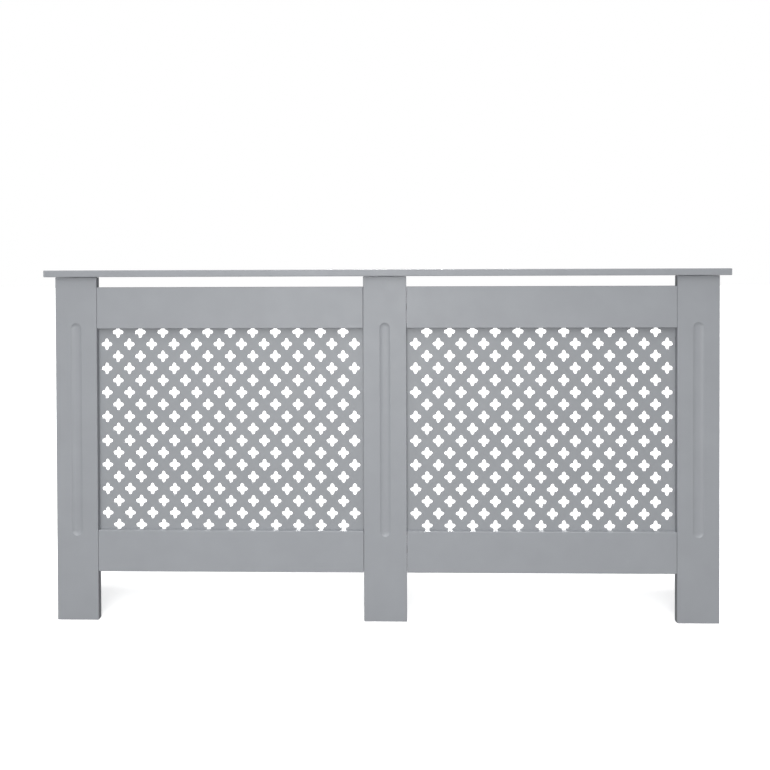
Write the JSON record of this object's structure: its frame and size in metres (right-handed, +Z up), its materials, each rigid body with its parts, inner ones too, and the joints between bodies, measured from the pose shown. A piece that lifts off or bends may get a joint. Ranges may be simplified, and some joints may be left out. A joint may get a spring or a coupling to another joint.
{
  "type": "radiator cover",
  "caption": "Long radiator cover: an overhanging shelf on fluted posts and rails that frame two pierced lattice bays, with side panels cut away at the foot and an open back.",
  "frame": {"origin": "middle of the base, on the floor", "axes": "+X to the right along the shelf, +Y to the wall behind, +Z up"},
  "size_m": [1.52, 0.2, 0.785],
  "materials": {
    "painted_board": "satin grey paint on fibreboard",
    "painted_sheet": "satin grey paint on thin fibreboard",
    "beech": "bare turned beech",
    "zinc_steel": "bright zinc plate"
  },
  "bodies": {
    "root": {"top_shelf": "painted_board", "side_panel_left": "painted_board", "side_panel_right": "painted_board", "post_left": "painted_board", "post_centre": "painted_board", "post_right": "painted_board", "top_rail_left": "painted_board", "top_rail_right": "painted_board", "bottom_rail_left": "painted_board", "bottom_rail_right": "painted_board", "lattice_left": "painted_sheet", "lattice_right": "painted_sheet", "dowel_top_left_inner": "beech", "dowel_top_left_outer": "beech", "dowel_top_right_inner": "beech", "dowel_top_right_outer": "beech", "dowel_bottom_left_inner": "beech", "dowel_bottom_left_outer": "beech", "dowel_bottom_right_inner": "beech", "dowel_bottom_right_outer": "beech", "joint_plate_top_left_inner": "zinc_steel", "joint_plate_top_left_outer": "zinc_steel", "joint_plate_top_right_inner": "zinc_steel", "joint_plate_top_right_outer": "zinc_steel", "joint_plate_bottom_left_inner": "zinc_steel", "joint_plate_bottom_left_outer": "zinc_steel", "joint_plate_bottom_right_inner": "zinc_steel", "joint_plate_bottom_right_outer": "zinc_steel", "corner_bracket_left_top": "zinc_steel", "corner_bracket_left_middle": "zinc_steel", "corner_bracket_left_bottom": "zinc_steel", "corner_bracket_right_top": "zinc_steel", "corner_bracket_right_middle": "zinc_steel", "corner_bracket_right_bottom": "zinc_steel", "shelf_bracket_left_front": "zinc_steel", "shelf_bracket_left_rear": "zinc_steel", "shelf_bracket_right_front": "zinc_steel", "shelf_bracket_right_rear": "zinc_steel", "shelf_bracket_centre_left": "zinc_steel", "shelf_bracket_centre_right": "zinc_steel", "wall_bracket": "zinc_steel"}
  },
  "joints": []
}
